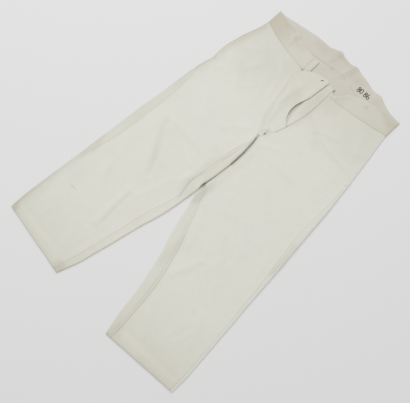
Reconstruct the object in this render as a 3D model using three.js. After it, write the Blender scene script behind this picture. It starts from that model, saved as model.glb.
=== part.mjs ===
// Military drill trousers, laid flat on their back with the front up.
// Millimetres. +Y runs to the waist, +X to the wearer's left leg, +Z up from the floor.
import * as THREE from "three";

const clothThick = 1.5;
const hemThick = 2.3;
const bandThick = 2.2;
const seamGap = 0.35;
const legStack = 4.2;
const hemStack = 5.4;
const bandStack = 5.4;
const hemDeep = 22;
const foldReach = 17;
const crotchY = 174;
const bandSeamBackY = 495;

// Leg sections from hem to crotch. m is the distance from the middle line to that leg's side.
// outM and outY: outer fold. inM and inY: inner fold. seamM: inseam, seen on the top.
// side: outseam to outer fold. round: radius of the folds.
const rightLegRows = [
  { outM: 355, outY: -494, inM: 112, inY: -521, seamM: 129, side: 9, round: 3.4 },
  { outM: 355.5, outY: -450, inM: 90, inY: -456, seamM: 111, side: 9, round: 3.4 },
  { outM: 352, outY: -400, inM: 78, inY: -402, seamM: 99.5, side: 9, round: 3.4 },
  { outM: 348, outY: -350, inM: 66, inY: -350, seamM: 89, side: 9, round: 3.4 },
  { outM: 343.5, outY: -300, inM: 56, inY: -300, seamM: 79.5, side: 9, round: 3.4 },
  { outM: 339, outY: -250, inM: 45, inY: -250, seamM: 70, side: 13, round: 3.5 },
  { outM: 335, outY: -200, inM: 32, inY: -200, seamM: 60, side: 20, round: 3.6 },
  { outM: 331, outY: -150, inM: 24, inY: -150, seamM: 44, side: 27, round: 3.8 },
  { outM: 327.5, outY: -110, inM: 19.5, inY: -110, seamM: 37, side: 30, round: 4.2 },
  { outM: 325, outY: -75, inM: 17, inY: -75, seamM: 43, side: 31, round: 4.6 },
  { outM: 322, outY: -40, inM: 13.7, inY: -40, seamM: 45, side: 31, round: 5 },
  { outM: 318.5, outY: 0, inM: 9.6, inY: 0, seamM: 38, side: 30, round: 5 },
  { outM: 314, outY: 40, inM: 5.2, inY: 40, seamM: 36, side: 29, round: 5 },
  { outM: 310, outY: 80, inM: 3.0, inY: 80, seamM: 31, side: 27, round: 5 },
  { outM: 307.5, outY: 110, inM: 3.0, inY: 110, seamM: 23, side: 25, round: 5 },
  { outM: 305, outY: 140, inM: 4.8, inY: 140, seamM: 14, side: 22, round: 4.8 },
  { outM: 303.2, outY: 164, inM: 6.4, inY: 164, seamM: 10, side: 18, round: 4.6 },
  { outM: 302.5, outY: 174, inM: 7.3, inY: 174, seamM: 8.5, side: 16, round: 4.5 },
];
const leftLegRows = [
  { outM: 356, outY: -499, inM: 112, inY: -529, seamM: 134, side: 8, round: 3.4 },
  { outM: 356, outY: -450, inM: 95, inY: -457, seamM: 127, side: 8, round: 3.4 },
  { outM: 351.5, outY: -400, inM: 86, inY: -402, seamM: 121, side: 8, round: 3.4 },
  { outM: 348, outY: -350, inM: 75, inY: -350, seamM: 114, side: 8, round: 3.4 },
  { outM: 343, outY: -300, inM: 61.5, inY: -300, seamM: 102.5, side: 8, round: 3.4 },
  { outM: 338.5, outY: -250, inM: 46.5, inY: -250, seamM: 87.5, side: 8, round: 3.5 },
  { outM: 332.5, outY: -200, inM: 28, inY: -200, seamM: 70, side: 9, round: 3.6 },
  { outM: 328, outY: -150, inM: 13, inY: -150, seamM: 50, side: 10, round: 3.8 },
  { outM: 324.5, outY: -110, inM: 3.5, inY: -110, seamM: 33, side: 12, round: 4.2 },
  { outM: 321.5, outY: -75, inM: -5, inY: -75, seamM: 17, side: 14, round: 4.6 },
  { outM: 318, outY: -40, inM: -8.6, inY: -40, seamM: 5, side: 17, round: 5 },
  { outM: 313.5, outY: 0, inM: -4.2, inY: 0, seamM: 4, side: 19, round: 5 },
  { outM: 309.5, outY: 40, inM: 0.4, inY: 40, seamM: 5, side: 20, round: 5 },
  { outM: 305.5, outY: 80, inM: 2.6, inY: 80, seamM: 6, side: 20, round: 5 },
  { outM: 302.5, outY: 110, inM: 2.8, inY: 110, seamM: 5.5, side: 18, round: 5 },
  { outM: 300, outY: 140, inM: 0.6, inY: 140, seamM: 2.5, side: 15, round: 4.8 },
  { outM: 297.2, outY: 164, inM: -1.6, inY: 164, seamM: -0.4, side: 13, round: 4.6 },
  { outM: 296, outY: 174, inM: -6.7, inY: 174, seamM: -5.5, side: 12, round: 4.5 },
];

// Hip sections from above the crotch to the waistband's seam.
// seamM and seamY: the front's edge at the fly. bend: how late the row rises to the side.
const rightHipRows = [
  { outM: 301.5, outY: 185, seamM: 14.5, seamY: 185, side: 12, round: 4.2, bend: 1 },
  { outM: 300, outY: 200, seamM: 20.5, seamY: 200, side: 9, round: 4, bend: 1 },
  { outM: 294.5, outY: 228, seamM: 36, seamY: 228, side: 6, round: 3.8, bend: 1 },
  { outM: 285, outY: 257, seamM: 46.5, seamY: 256, side: 5.4, round: 3.6, bend: 1 },
  { outM: 289.5, outY: 286, seamM: 51, seamY: 283, side: 5.4, round: 3.6, bend: 1 },
  { outM: 287, outY: 316, seamM: 55, seamY: 309, side: 5.4, round: 3.6, bend: 1 },
  { outM: 281, outY: 345, seamM: 59, seamY: 334, side: 5.4, round: 3.6, bend: 1.1 },
  { outM: 274.5, outY: 375, seamM: 67, seamY: 358, side: 5.4, round: 3.6, bend: 1.2 },
  { outM: 265, outY: 404, seamM: 73, seamY: 382, side: 5.4, round: 3.6, bend: 1.35 },
  { outM: 257, outY: 432, seamM: 74, seamY: 403, side: 5.4, round: 3.6, bend: 1.5 },
  { outM: 252, outY: 457.7, seamM: 67, seamY: 421.7, side: 5.4, round: 3.6, bend: 1.6 },
];
const leftHipRows = [
  { outM: 294.5, outY: 185, seamM: -2.5, seamY: 185, side: 11, round: 4.2, bend: 1 },
  { outM: 292, outY: 200, seamM: 2.5, seamY: 200, side: 9, round: 4, bend: 1 },
  { outM: 287.5, outY: 228, seamM: 20, seamY: 226, side: 6, round: 3.8, bend: 1 },
  { outM: 283, outY: 256, seamM: 28.7, seamY: 254, side: 5.4, round: 3.6, bend: 1 },
  { outM: 278.5, outY: 284, seamM: 36, seamY: 281, side: 5.4, round: 3.6, bend: 1 },
  { outM: 273.5, outY: 313, seamM: 42, seamY: 307, side: 5.4, round: 3.6, bend: 1.05 },
  { outM: 269.5, outY: 341, seamM: 45.5, seamY: 331, side: 5.4, round: 3.6, bend: 1.1 },
  { outM: 265, outY: 369, seamM: 47, seamY: 354, side: 5.4, round: 3.6, bend: 1.15 },
  { outM: 260, outY: 396, seamM: 47.5, seamY: 376, side: 5.4, round: 3.6, bend: 1.2 },
  { outM: 255.5, outY: 422, seamM: 47, seamY: 396, side: 5.4, round: 3.6, bend: 1.25 },
  { outM: 252, outY: 446.7, seamM: 46.5, seamY: 414.7, side: 5.4, round: 3.6, bend: 1.3 },
];

// Line of the centre back seam, under the front.
const centreBackLine = [
  { x: -7, y: 174 },
  { x: -3, y: 200 },
  { x: 4, y: 280 },
  { x: 14, y: 380 },
  { x: 26, y: 472 },
  { x: 32, y: 500 },
  { x: 45, y: 550 },
];

// Wavy top edge of the back's waistband, from the wearer's right to the left.
const backTopLine = [
  { x: -252, y: 513 },
  { x: -225, y: 514 },
  { x: -200, y: 519 },
  { x: -170, y: 525 },
  { x: -140, y: 530 },
  { x: -100, y: 536 },
  { x: -60, y: 537 },
  { x: -42, y: 544 },
  { x: -24, y: 551 },
  { x: -4, y: 545 },
  { x: 20, y: 541 },
  { x: 45, y: 547 },
  { x: 70, y: 541 },
  { x: 100, y: 535 },
  { x: 130, y: 527 },
  { x: 158, y: 531 },
  { x: 180, y: 521 },
  { x: 205, y: 512 },
  { x: 252, y: 508 },
];

// Front of each waistband: its seam and its top edge, from the fly to the side.
const rightBand = {
  seam: [
    { m: 46.5, y: 434 },
    { m: 56, y: 428 },
    { m: 67, y: 422 },
  ],
  top: [
    { m: 46.5, y: 476 },
    { m: 85, y: 479 },
    { m: 113, y: 480 },
    { m: 140, y: 490 },
    { m: 152, y: 497 },
    { m: 200, y: 503 },
    { m: 228, y: 508 },
    { m: 252, y: 513 },
  ],
};
const leftBand = {
  seam: [
    { m: 46.5, y: 415 },
    { m: 47, y: 415 },
  ],
  top: [
    { m: 46.5, y: 437 },
    { m: 56, y: 431 },
    { m: 67, y: 433 },
    { m: 75, y: 444 },
    { m: 86, y: 460 },
    { m: 103, y: 473 },
    { m: 120, y: 481 },
    { m: 150, y: 489 },
    { m: 203, y: 503 },
    { m: 252, y: 508 },
  ],
};

// Free edge of the fly flap, a point for each right hip section.
const flapFreeEdge = [
  { x: -3.3, y: 185 },
  { x: 1.9, y: 200 },
  { x: 19.3, y: 226 },
  { x: 28, y: 257 },
  { x: 11, y: 277 },
  { x: 1.5, y: 299 },
  { x: 0, y: 325 },
  { x: 7, y: 353 },
  { x: 14, y: 379 },
  { x: 16, y: 403 },
  { x: 18, y: 421 },
  { x: 20, y: 439 },
];

// Edge of the button stand that lies in the open fly: its free edge and its sewn edge, from below upwards.
const standRows = [
  { freeX: 24.6, freeY: 265, sewnX: 30.9, sewnY: 264 },
  { freeX: 19, freeY: 277, sewnX: 34.6, sewnY: 277 },
  { freeX: 14, freeY: 291, sewnX: 37.8, sewnY: 290.5 },
  { freeX: 10.5, freeY: 308, sewnX: 41.6, sewnY: 307 },
  { freeX: 11, freeY: 332, sewnX: 45.0, sewnY: 331 },
  { freeX: 13.5, freeY: 356, sewnX: 46.5, sewnY: 354 },
  { freeX: 16, freeY: 380, sewnX: 47.0, sewnY: 376 },
  { freeX: 18.5, freeY: 403, sewnX: 46.5, sewnY: 396 },
  { freeX: 20.5, freeY: 424, sewnX: 46.0, sewnY: 415 },
  { freeX: 21.5, freeY: 439, sewnX: 46.0, sewnY: 434 },
  { freeX: 24, freeY: 447, sewnX: 46.0, sewnY: 444 },
];

// Largest folds of the upper layer, each a soft ridge along one line.
const ridges = [
  { x0: -214, y0: 22, x1: -136, y1: -112, wide: 15, high: 5 },
  { x0: -243, y0: -8, x1: -168, y1: -130, wide: 17, high: 5 },
  { x0: -152, y0: -205, x1: -145, y1: -342, wide: 14, high: 3 },
  { x0: -202, y0: 30, x1: -90, y1: 24, wide: 14, high: 2 },
  { x0: -141, y0: -2, x1: -79, y1: -26, wide: 14, high: 2 },
  { x0: -54, y0: 30, x1: -60, y1: -95, wide: 13, high: 2.6 },
  { x0: 106, y0: 305, x1: 260, y1: 292, wide: 15, high: 2.4 },
  { x0: 128, y0: 345, x1: 98, y1: 285, wide: 14, high: 2.2 },
  { x0: 64, y0: 152, x1: 158, y1: 155, wide: 15, high: 2 },
  { x0: 118, y0: -282, x1: 150, y1: -196, wide: 14, high: 2.6 },
  { x0: 156, y0: -35, x1: 219, y1: -95, wide: 18, high: 2.6 },
  { x0: 3, y0: 345, x1: 0, y1: 305, wide: 19, high: 5 },
  { x0: 14, y0: 436, x1: 8, y1: 356, wide: 14, high: 2.2 },
  { x0: 50, y0: 425, x1: 40, y1: 285, wide: 11, high: 2.6 },
  { x0: 66, y0: 432, x1: 92, y1: 464, wide: 12, high: 3.5 },
  { x0: -152, y0: 496, x1: -164, y1: 458, wide: 13, high: 2.5 },
];

const frontColour = 0xd8d6c6;
const backColour = 0xcac4b2;

const mix = THREE.MathUtils.lerp;

// Value of a table's column at a key, straight between rows.
function readLine(rows, key, at, column) {
  let k = 1;
  while (k < rows.length - 1 && rows[k][key] < at) k += 1;
  const a = rows[k - 1];
  const b = rows[k];
  return mix(a[column], b[column], THREE.MathUtils.clamp((at - a[key]) / (b[key] - a[key]), 0, 1));
}

// Height that the folds add at a place.
function liftAt(x, y) {
  let high = 0;
  for (const ridge of ridges) {
    const alongX = ridge.x1 - ridge.x0;
    const alongY = ridge.y1 - ridge.y0;
    const near = ((x - ridge.x0) * alongX + (y - ridge.y0) * alongY) / (alongX ** 2 + alongY ** 2);
    const f = THREE.MathUtils.clamp(near, 0, 1);
    const away = Math.hypot(x - ridge.x0 - f * alongX, y - ridge.y0 - f * alongY);
    high = Math.max(high, ridge.high * Math.exp(-((away / ridge.wide) ** 2)));
  }
  return high;
}

const nearEdge = (distance) => Math.exp(-((distance / foldReach) ** 2));

// One section of a leg or hip as a loop. Its place is told by a distance over the top,
// from the inner fold's crown outwards, and it is negative round that fold and beneath.
function makeSection(side, row, thick, stack) {
  const closed = row.inM !== undefined;
  const crown = closed ? row.inM + row.round : 0;
  const outCrown = row.outM - row.round;
  const bulge = 2 * row.round - stack;
  const topY = (m) => {
    const from = closed ? row.inM : row.seamM;
    const fromY = closed ? row.inY : row.seamY;
    const f = THREE.MathUtils.clamp((m - from) / (outCrown - from), 0, 1);
    return mix(fromY, row.outY, f ** (row.bend ?? 1));
  };
  const onTop = (m, depth) => {
    const y = topY(m);
    const inner = closed ? nearEdge(m - crown) : 0;
    const outer = nearEdge(outCrown - m);
    const free = (1 - inner) * (1 - outer);
    const z = stack + bulge * Math.max(inner, outer) + free * liftAt(side * m, y);
    return new THREE.Vector3(side * m, y, z - depth);
  };
  const onArc = (centreM, outward, angle, y, depth) => {
    const radius = row.round - depth;
    const m = centreM + outward * radius * Math.sin(angle);
    return new THREE.Vector3(side * m, y, row.round + radius * Math.cos(angle));
  };
  return { row, side, closed, crown, outCrown, topY, onTop, onArc, thick };
}

// A closed sheet of cloth from a grid of points at depth 0 and at full depth.
function makeSheet(name, colour, columns, rows, pointAt) {
  const places = [];
  for (const under of [false, true]) {
    for (let j = 0; j < rows; j += 1) {
      for (let i = 0; i < columns; i += 1) places.push(pointAt(i, j, under));
    }
  }
  const layer = columns * rows;
  const faces = [];
  const quad = (a, b, c, d) => faces.push(a, b, c, a, c, d);
  for (let j = 0; j < rows - 1; j += 1) {
    for (let i = 0; i < columns - 1; i += 1) {
      const a = j * columns + i;
      quad(a, a + 1, a + 1 + columns, a + columns);
      quad(a + layer, a + layer + columns, a + layer + 1 + columns, a + layer + 1);
    }
  }
  for (let i = 0; i < columns - 1; i += 1) {
    const far = (rows - 1) * columns + i;
    quad(i, i + layer, i + 1 + layer, i + 1);
    quad(far, far + 1, far + 1 + layer, far + layer);
  }
  for (let j = 0; j < rows - 1; j += 1) {
    const a = j * columns;
    const b = a + columns - 1;
    quad(a, a + columns, a + columns + layer, a + layer);
    quad(b, b + layer, b + columns + layer, b + columns);
  }
  const geometry = new THREE.BufferGeometry();
  geometry.setAttribute("position", new THREE.Float32BufferAttribute(places.flatMap((p) => p.toArray()), 3));
  geometry.setIndex(faces);
  if (volumeOf(places, faces) < 0) geometry.setIndex(faces.toReversed());
  geometry.computeVertexNormals();
  const material = new THREE.MeshStandardMaterial({ color: colour, roughness: 0.92, metalness: 0 });
  const mesh = new THREE.Mesh(geometry, material);
  mesh.name = name;
  return mesh;
}

function volumeOf(places, faces) {
  let sum = 0;
  for (let k = 0; k < faces.length; k += 3) {
    const [a, b, c] = [places[faces[k]], places[faces[k + 1]], places[faces[k + 2]]];
    sum += a.dot(new THREE.Vector3().crossVectors(b, c)) / 6;
  }
  return sum;
}

const blendRows = (a, b, f) => Object.fromEntries(Object.keys(a).map((key) => [key, mix(a[key], b[key], f)]));

// Sections of one side, with the hem's doubled end as rows of its own.
function sectionsOf(side, legRows, hipRows) {
  const step = legRows[1].outY - legRows[0].outY;
  const hemRows = [0, hemDeep / step, (hemDeep + 4) / step].map((f) => blendRows(legRows[0], legRows[1], f));
  const doubled = hemRows.slice(0, 2).map((row) => makeSection(side, row, hemThick, hemStack));
  const plain = [hemRows[2], ...legRows.slice(1), ...hipRows];
  return [...doubled, ...plain.map((row) => makeSection(side, row, clothThick, legStack))];
}

// Sections with one more between two that are far apart, so that the front can fold.
function halved(sections) {
  const out = [];
  sections.forEach((s, k) => {
    out.push(s);
    const next = sections[k + 1];
    if (!next || next.closed !== s.closed || next.row.outY - s.row.outY < 23) return;
    out.push(makeSection(s.side, blendRows(s.row, next.row, 0.5), next.thick, legStack));
  });
  return out;
}

// The front lies on top from the inseam or fly to the outseam, with finer steps at its edges.
const frontColumns = 24;
const frontSteps = Array.from({ length: frontColumns }, (_, i) => {
  const t = i / (frontColumns - 1);
  return mix(t, (1 - Math.cos(Math.PI * t)) / 2, 0.55);
});

function makeFront(name, givenSections) {
  const sections = halved(givenSections);
  const pointAt = (i, j, under) => {
    const s = sections[j];
    const depth = under ? s.thick : 0;
    const m = mix(s.row.seamM, s.row.outM - s.row.side, frontSteps[i]);
    if (s.closed && m < s.crown) {
      const angle = ((s.crown - m) / s.row.round) * (Math.PI / 2);
      return s.onArc(s.crown, -1, angle, s.row.inY, depth);
    }
    return s.onTop(m, depth);
  };
  return makeSheet(name, frontColour, frontSteps.length, sections.length, pointAt);
}

// The back runs from the inseam round the inner fold, beneath, and round the outer fold.
const innerSteps = 6;
const innerPace = 3;
const underSteps = 5;
const arcSteps = 4;
const sideSteps = 2;

function backInner(s, k, depth, side) {
  if (!s.closed) {
    const y = backY(s.row.outY, sideTopOf(side));
    const m = side * readLine(centreBackLine, "y", y, "x") + seamGap / 2;
    const f = (k * innerPace) / (s.outCrown - m);
    return new THREE.Vector3(side * mix(m, s.outCrown, f), mix(y, s.row.outY, f), depth);
  }
  const start = s.row.seamM - seamGap - s.crown;
  const reach = Math.PI * s.row.round;
  const startArc = start < 0 ? (start * Math.PI) / 2 : start;
  const even = ((reach + startArc) / (innerSteps + 2)) * k;
  const nominal = k < 2 ? startArc * (1 - k / 2) : (-reach * (k - 2)) / (innerSteps - 2);
  const q = Math.min(nominal, startArc - even);
  if (k === innerSteps) return s.onArc(s.crown, -1, Math.PI, s.row.inY, depth);
  if (q > 0) return s.onTop(s.crown + q, depth);
  return s.onArc(s.crown, -1, -q / s.row.round, s.row.inY, depth);
}

const sideTopOf = (side) => (side < 0 ? rightHipRows : leftHipRows).at(-1).outY;

// Height on the back's middle line that belongs to a height at the side.
function backY(outY, sideTop) {
  return mix(crotchY, bandSeamBackY - seamGap, (outY - crotchY) / (sideTop - crotchY));
}

function makeBack(name, side, sections) {
  const columns = innerSteps + underSteps + arcSteps + sideSteps + 1;
  const pointAt = (i, j, under) => {
    const s = sections[j];
    const depth = under ? s.thick : 0;
    if (i <= innerSteps) return backInner(s, i, depth, side);
    const corner = backInner(s, innerSteps, depth, side);
    let k = i - innerSteps;
    if (k <= underSteps) {
      const f = k / underSteps;
      const edge = new THREE.Vector3(side * s.outCrown, s.row.outY, depth);
      return corner.lerp(edge, f);
    }
    k -= underSteps;
    if (k <= arcSteps) return s.onArc(s.outCrown, 1, Math.PI * (1 - k / arcSteps), s.row.outY, depth);
    k -= arcSteps;
    const m = mix(s.outCrown, s.row.outM - s.row.side + seamGap, k / sideSteps);
    return s.onTop(m, depth);
  };
  return makeSheet(name, backColour, columns, sections.length, pointAt);
}

// A waistband runs from its end at the fly over the top, round the side and beneath.
const bandRows = 4;
const bandTopSteps = 13;
const bandUnderSteps = 13;

function makeBand(name, side, lines, hipRows) {
  const last = hipRows.at(-1);
  const round = 3.6;
  const endM = lines.top[0].m;
  const outM = last.outM;
  const outCrown = outM - round;
  const seamY = (m) => {
    if (m < last.seamM) return readLine(lines.seam, "m", m, "y");
    const f = Math.min((m - last.seamM) / (outCrown - last.seamM), 1);
    return mix(last.seamY, last.outY, f ** last.bend) + seamGap;
  };
  const pointAt = (i, j, under) => {
    const depth = under ? bandThick : 0;
    const up = j / (bandRows - 1);
    if (i <= bandTopSteps) {
      const m = mix(endM, outCrown, i / bandTopSteps);
      const y = mix(seamY(m), readLine(lines.top, "m", m, "y"), up);
      const outer = nearEdge(outCrown - m);
      const z = bandStack + (2 * round - bandStack) * outer + (1 - outer) * liftAt(side * m, y);
      return new THREE.Vector3(side * m, y, z - depth);
    }
    let k = i - bandTopSteps;
    if (k <= arcSteps) {
      const radius = round - depth;
      const angle = (Math.PI * k) / arcSteps;
      const m = outCrown + radius * Math.sin(angle);
      const y = mix(seamY(outM), readLine(backTopLine, "x", side * outM, "y"), up);
      return new THREE.Vector3(side * m, y, round + radius * Math.cos(angle));
    }
    k -= arcSteps;
    const f = k / bandUnderSteps;
    const middleY = mix(bandSeamBackY, 546, up);
    const middleM = side * readLine(centreBackLine, "y", middleY, "x") + seamGap / 2;
    const m = mix(outCrown, middleM, f);
    const seamM = side * readLine(centreBackLine, "y", bandSeamBackY, "x");
    const low = mix(last.outY, bandSeamBackY - seamGap, (outCrown - m) / (outCrown - seamM)) + seamGap;
    const high = readLine(backTopLine, "x", side * m, "y");
    return new THREE.Vector3(side * m, mix(low, high, up), depth);
  };
  const columns = bandTopSteps + arcSteps + bandUnderSteps + 1;
  return makeSheet(name, frontColour, columns, bandRows, pointAt);
}

// The flap is sewn to the right front and lies loose over the inside of the back.
const flapSteps = 6;

function makeFlap(name) {
  const rows = [...rightHipRows.slice(0, -1), blendRows(...rightHipRows.slice(-2), 0.5), rightHipRows.at(-1)];
  const pointAt = (i, j, under) => {
    const sewn = rows[j];
    const free = flapFreeEdge[j];
    const f = i / flapSteps;
    const x = mix(seamGap - sewn.seamM, free.x, f);
    const top = j === rows.length - 1 ? 15 * Math.sin(Math.PI * f) ** 2 - seamGap * (1 - f) : 0;
    const y = mix(sewn.seamY, free.y, f) + top;
    return new THREE.Vector3(x, y, legStack + liftAt(x, y) - (under ? clothThick : 0));
  };
  return makeSheet(name, frontColour, flapSteps + 1, rows.length, pointAt);
}

// The button stand is sewn under the left front's edge and fills the fly, with its loose edge under the flap.
const standSteps = 4;
const standDrop = [0, 0, 0, 0, 0, 0, 0, 0, 0, 0.3, 0.8];

function makeStand(name) {
  const pointAt = (i, j, under) => {
    const row = standRows[j];
    const f = i / standSteps;
    const z = legStack - standDrop[j] - (under ? clothThick : 0);
    return new THREE.Vector3(mix(row.freeX, row.sewnX, f), mix(row.freeY, row.sewnY, f), z);
  };
  return makeSheet(name, frontColour, standSteps + 1, standRows.length, pointAt);
}

const rightSections = sectionsOf(-1, rightLegRows, rightHipRows);
const leftSections = sectionsOf(1, leftLegRows, leftHipRows);

const trousers = new THREE.Group();
trousers.name = "trousers";
trousers.add(makeBack("back_right", -1, rightSections));
trousers.add(makeBack("back_left", 1, leftSections));
trousers.add(makeFront("front_right", rightSections));
trousers.add(makeFront("front_left", leftSections));
trousers.add(makeBand("waistband_right", -1, rightBand, rightHipRows));
trousers.add(makeBand("waistband_left", 1, leftBand, leftHipRows));
trousers.add(makeFlap("fly_flap"));
trousers.add(makeStand("button_stand"));

// The origin is under the middle of the whole.
const box = new THREE.Box3().setFromObject(trousers);
const middle = box.getCenter(new THREE.Vector3());
for (const mesh of trousers.children) mesh.geometry.translate(-middle.x, -middle.y, -box.min.z);

export default trousers;
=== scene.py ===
import math
import bmesh
import bpy
import numpy as np
from mathutils import Matrix, Vector
from mathutils.bvhtree import BVHTree


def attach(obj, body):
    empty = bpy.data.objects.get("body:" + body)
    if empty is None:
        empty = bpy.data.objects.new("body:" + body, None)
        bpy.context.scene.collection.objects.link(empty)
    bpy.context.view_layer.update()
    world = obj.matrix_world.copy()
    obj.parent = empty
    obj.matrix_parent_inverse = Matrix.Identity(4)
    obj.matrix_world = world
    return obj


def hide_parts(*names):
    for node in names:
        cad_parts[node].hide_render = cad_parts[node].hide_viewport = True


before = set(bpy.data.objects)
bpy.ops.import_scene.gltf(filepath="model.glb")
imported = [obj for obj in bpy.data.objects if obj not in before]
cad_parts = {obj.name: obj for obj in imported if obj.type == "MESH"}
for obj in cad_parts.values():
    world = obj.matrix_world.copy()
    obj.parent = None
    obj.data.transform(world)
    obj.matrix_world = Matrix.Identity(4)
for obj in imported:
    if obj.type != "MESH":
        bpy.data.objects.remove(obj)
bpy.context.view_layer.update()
print("frame loaded:", ", ".join(sorted(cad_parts)))

# Plan millimetres: +y to the waist, +x to the wearer's left leg. The frame's origin in the plan:
planOrigin = (0.25, 10.95)

# Wall thicknesses, heights of the laid cloth, and how far one piece runs beneath the next.
cloth = dict(thick=1.2, hemThick=1.9, bandThick=1.9, stack=4.2, hemStack=5.2, bandStack=5.3,
             hemDeep=22, hemStep=3, bandRound=3.6, foldReach=17.0, rest=0.25, gridStep=4.5,
             seamGap=0.05, tuck=4.5, tuckDeep=1.45)
backSeam = dict(low=174, high=494.7, bandLow=495, bandHigh=546)
ringPoints = dict(backInner=23, backFlat=8, backUnder=52, backTop=7, arc=13, bandTop=62,
                  bandUnder=70, flap=76, stand=34)

# One row for each leg section: outer fold, inner fold, inseam, outseam from the outer fold,
# radius of the folds.
legColumns = ("outM", "outY", "inM", "inY", "seamM", "side", "round")
rightLeg = [
    (355, -494, 112, -521, 129, 9, 3.4), (355.5, -450, 90, -456, 111, 9, 3.4),
    (352, -400, 78, -402, 99.5, 9, 3.4), (348, -350, 66, -350, 89, 9, 3.4),
    (343.5, -300, 56, -300, 79.5, 9, 3.4), (339, -250, 45, -250, 70, 13, 3.5),
    (335, -200, 32, -200, 60, 20, 3.6), (331, -150, 22.5, -150, 44, 27, 3.8),
    (327.5, -110, 17.5, -110, 37, 30, 4.2), (325, -75, 13.2, -75, 43, 31, 4.6),
    (322, -40, 10.6, -40, 45, 31, 5), (318.5, 0, 5.2, 0, 38, 30, 5), (314, 40, 1.2, 40, 36, 29, 5),
    (310, 80, -0.7, 80, 31, 27, 5), (307.5, 110, -0.4, 110, 23, 25, 5),
    (305, 140, 2.3, 140, 14, 22, 4.8), (303.2, 164, 4.9, 164, 10, 18, 4.6),
    (302.5, 174, 7.5, 174, 8.5, 16, 4.5)]
leftLeg = [
    (356, -499, 112, -529, 134, 8, 3.4), (356, -450, 95, -457, 127, 8, 3.4),
    (351.5, -400, 86, -402, 121, 8, 3.4), (346.8, -350, 75, -350, 114, 8, 3.4),
    (341.5, -300, 61.5, -300, 102.5, 8, 3.4), (337, -250, 46.5, -250, 87.5, 8, 3.5),
    (331, -200, 28, -200, 70, 9, 3.6), (326.5, -150, 13, -150, 50, 10, 3.8),
    (323, -110, 2.5, -110, 33, 12, 4.2), (320, -75, -6.5, -75, 17, 14, 4.6),
    (316.5, -40, -7.4, -40, 5, 17, 5), (311.7, 0, -4.0, 0, 4, 19, 5),
    (307.5, 40, 0.0, 40, 5, 20, 5), (303.3, 80, 2.9, 80, 6, 20, 5),
    (300.3, 110, 3.1, 110, 5.5, 18, 5), (297.8, 140, 0.6, 140, 2.5, 15, 4.8),
    (295.2, 164, -2.6, 164, -0.2, 13, 4.6), (294, 174, -6.5, 174, -5.5, 12, 4.5)]

# Hip sections: outer fold, front's edge at the fly, outseam, radius, and how late the row rises
# to the side.
hipColumns = ("outM", "outY", "seamM", "seamY", "side", "round", "bend")
rightHip = [
    (300.7, 185, 14.5, 185, 12, 4.2, 1), (298.8, 200, 20.5, 200, 9, 4, 1),
    (293.5, 228, 36, 228, 6, 3.8, 1), (286.8, 257, 46.5, 256, 5.4, 3.6, 1),
    (288.3, 286, 51, 283, 5.4, 3.6, 1), (287, 316, 55, 309, 5.4, 3.6, 1),
    (281, 345, 59, 334, 5.4, 3.6, 1.1), (274.5, 375, 67, 358, 5.4, 3.6, 1.2),
    (265, 404, 73, 382, 5.4, 3.6, 1.35), (257, 432, 74, 403, 5.4, 3.6, 1.5),
    (252, 457.7, 67, 421.7, 5.4, 3.6, 1.6)]
leftHip = [
    (292.7, 185, -2.5, 185, 11, 4.2, 1), (290.5, 200, 2.5, 200, 9, 4, 1),
    (286.3, 228, 20, 226, 6, 3.8, 1), (283, 256, 28.7, 254, 5.4, 3.6, 1),
    (278.5, 284, 36, 281, 5.4, 3.6, 1), (273.5, 313, 42, 307, 5.4, 3.6, 1.05),
    (269.5, 341, 45.5, 331, 5.4, 3.6, 1.1), (265, 369, 47, 354, 5.4, 3.6, 1.15),
    (260, 396, 47.5, 376, 5.4, 3.6, 1.2), (255.5, 422, 47, 396, 5.4, 3.6, 1.25),
    (252, 446.7, 46.5, 414.7, 5.4, 3.6, 1.3)]

centreBack = [(-7, 174), (-3, 200), (4, 280), (14, 380), (26, 472), (32, 500), (45, 550)]
backTop = [
    (-252, 513), (-225, 514), (-200, 519), (-170, 525), (-140, 530), (-100, 536), (-60, 537),
    (-42, 544), (-24, 551), (-4, 545), (20, 541), (45, 547), (70, 541), (100, 535), (130, 527),
    (158, 531), (180, 521), (205, 512), (252, 508)]
bandLines = {
    -1: dict(seam=[(46.5, 434), (56, 428), (67, 422)],
             top=[(46.5, 476), (85, 479), (113, 480), (140, 490), (152, 497), (200, 503),
                  (228, 508), (252, 513)]),
    1: dict(seam=[(46.5, 415), (47, 415)],
            top=[(46.5, 437), (56, 431), (67, 433), (75, 444), (86, 460), (103, 473), (120, 481),
                 (150, 489), (203, 503), (252, 508)])}
# The flap's free edge from below upwards, and the rise of its top from the sewn edge to the free one.
flapFree = [
    (-3.3, 185), (1.9, 200), (19.3, 226), (28, 257), (11, 277), (1.5, 299), (0, 325), (7, 353),
    (14, 379), (16, 403), (18, 421), (20, 439)]
flapTop = [(0, 0), (0.25, 9.5), (0.54, 15), (0.77, 16), (0.9, 15), (1, 8)]

# Button stand: free edge x, y and sewn edge x, y, from below upwards.
standRows = [
    (24, 264, 31, 263.5), (18.5, 277, 35, 277), (13.5, 291, 38.3, 290.5), (10, 308, 42, 307),
    (8.5, 326, 44.5, 324), (8, 345, 46.2, 343), (8, 362, 47, 360), (9, 380, 47.5, 376),
    (10.5, 400, 47, 396), (13, 424, 46.5, 416), (18, 440, 46.5, 436), (24, 449, 46.3, 447)]

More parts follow.
